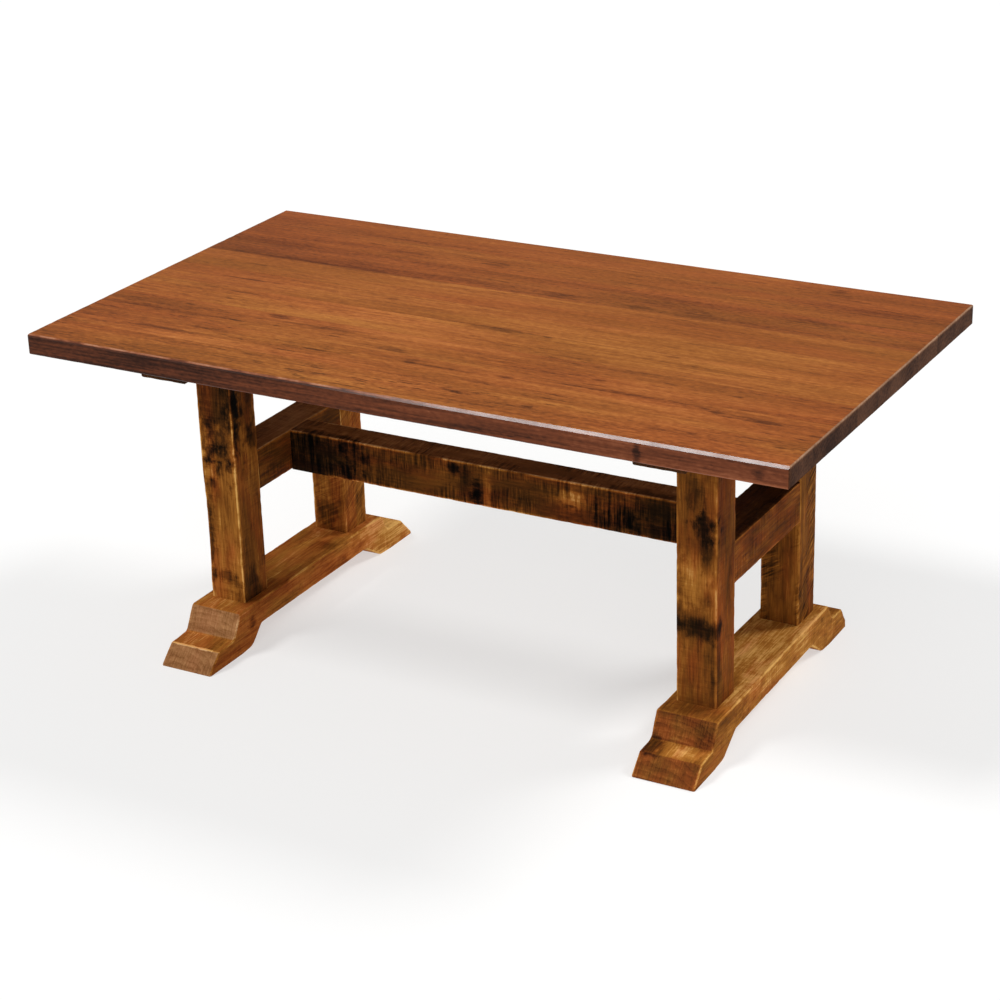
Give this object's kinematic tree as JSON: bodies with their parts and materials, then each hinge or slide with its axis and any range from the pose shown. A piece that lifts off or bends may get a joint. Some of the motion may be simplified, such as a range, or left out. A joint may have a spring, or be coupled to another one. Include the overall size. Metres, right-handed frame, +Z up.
{
  "type": "trestle dining table",
  "caption": "Rustic trestle dining table: thick edge-glued plank top with chamfered sides on paired square legs, stepped feet, cross rails and a long stretcher.",
  "frame": {"origin": "on the floor, under the middle of the top", "axes": "+X along the top's boards, +Y from the near long side to the far one, +Z up"},
  "size_m": [1.738, 0.9944, 0.762],
  "materials": {
    "top_wood": "satin lacquer over planed reclaimed boards",
    "tongue_wood": "bare, hidden in the joints",
    "cleat_wood": "satin lacquer over rough-sawn timber",
    "leg_wood": "satin lacquer over rough-sawn timber",
    "rail_wood": "satin lacquer over rough-sawn timber",
    "stretcher_wood": "satin lacquer over rough-sawn timber",
    "foot_wood": "satin lacquer over sawn timber, end grain on the risers",
    "zinc_steel": "zinc plated"
  },
  "bodies": {
    "root": {"top_board_1": "top_wood", "top_board_2": "top_wood", "top_board_3": "top_wood", "top_board_4": "top_wood", "top_board_5": "top_wood", "top_board_6": "top_wood", "top_board_7": "top_wood", "top_board_8": "top_wood", "top_board_9": "top_wood", "top_tongue_1": "tongue_wood", "top_tongue_2": "tongue_wood", "top_tongue_3": "tongue_wood", "top_tongue_4": "tongue_wood", "top_tongue_5": "tongue_wood", "top_tongue_6": "tongue_wood", "top_tongue_7": "tongue_wood", "top_tongue_8": "tongue_wood", "cleat_left": "cleat_wood", "cleat_right": "cleat_wood", "leg_left_near": "leg_wood", "leg_left_far": "leg_wood", "leg_right_near": "leg_wood", "leg_right_far": "leg_wood", "rail_left": "rail_wood", "rail_right": "rail_wood", "stretcher": "stretcher_wood", "foot_left": "foot_wood", "foot_right": "foot_wood", "foot_lag_screws_left": "zinc_steel", "foot_lag_screws_right": "zinc_steel", "foot_washers_left": "zinc_steel", "foot_washers_right": "zinc_steel", "top_screws_left": "zinc_steel", "top_screws_right": "zinc_steel"}
  },
  "joints": []
}
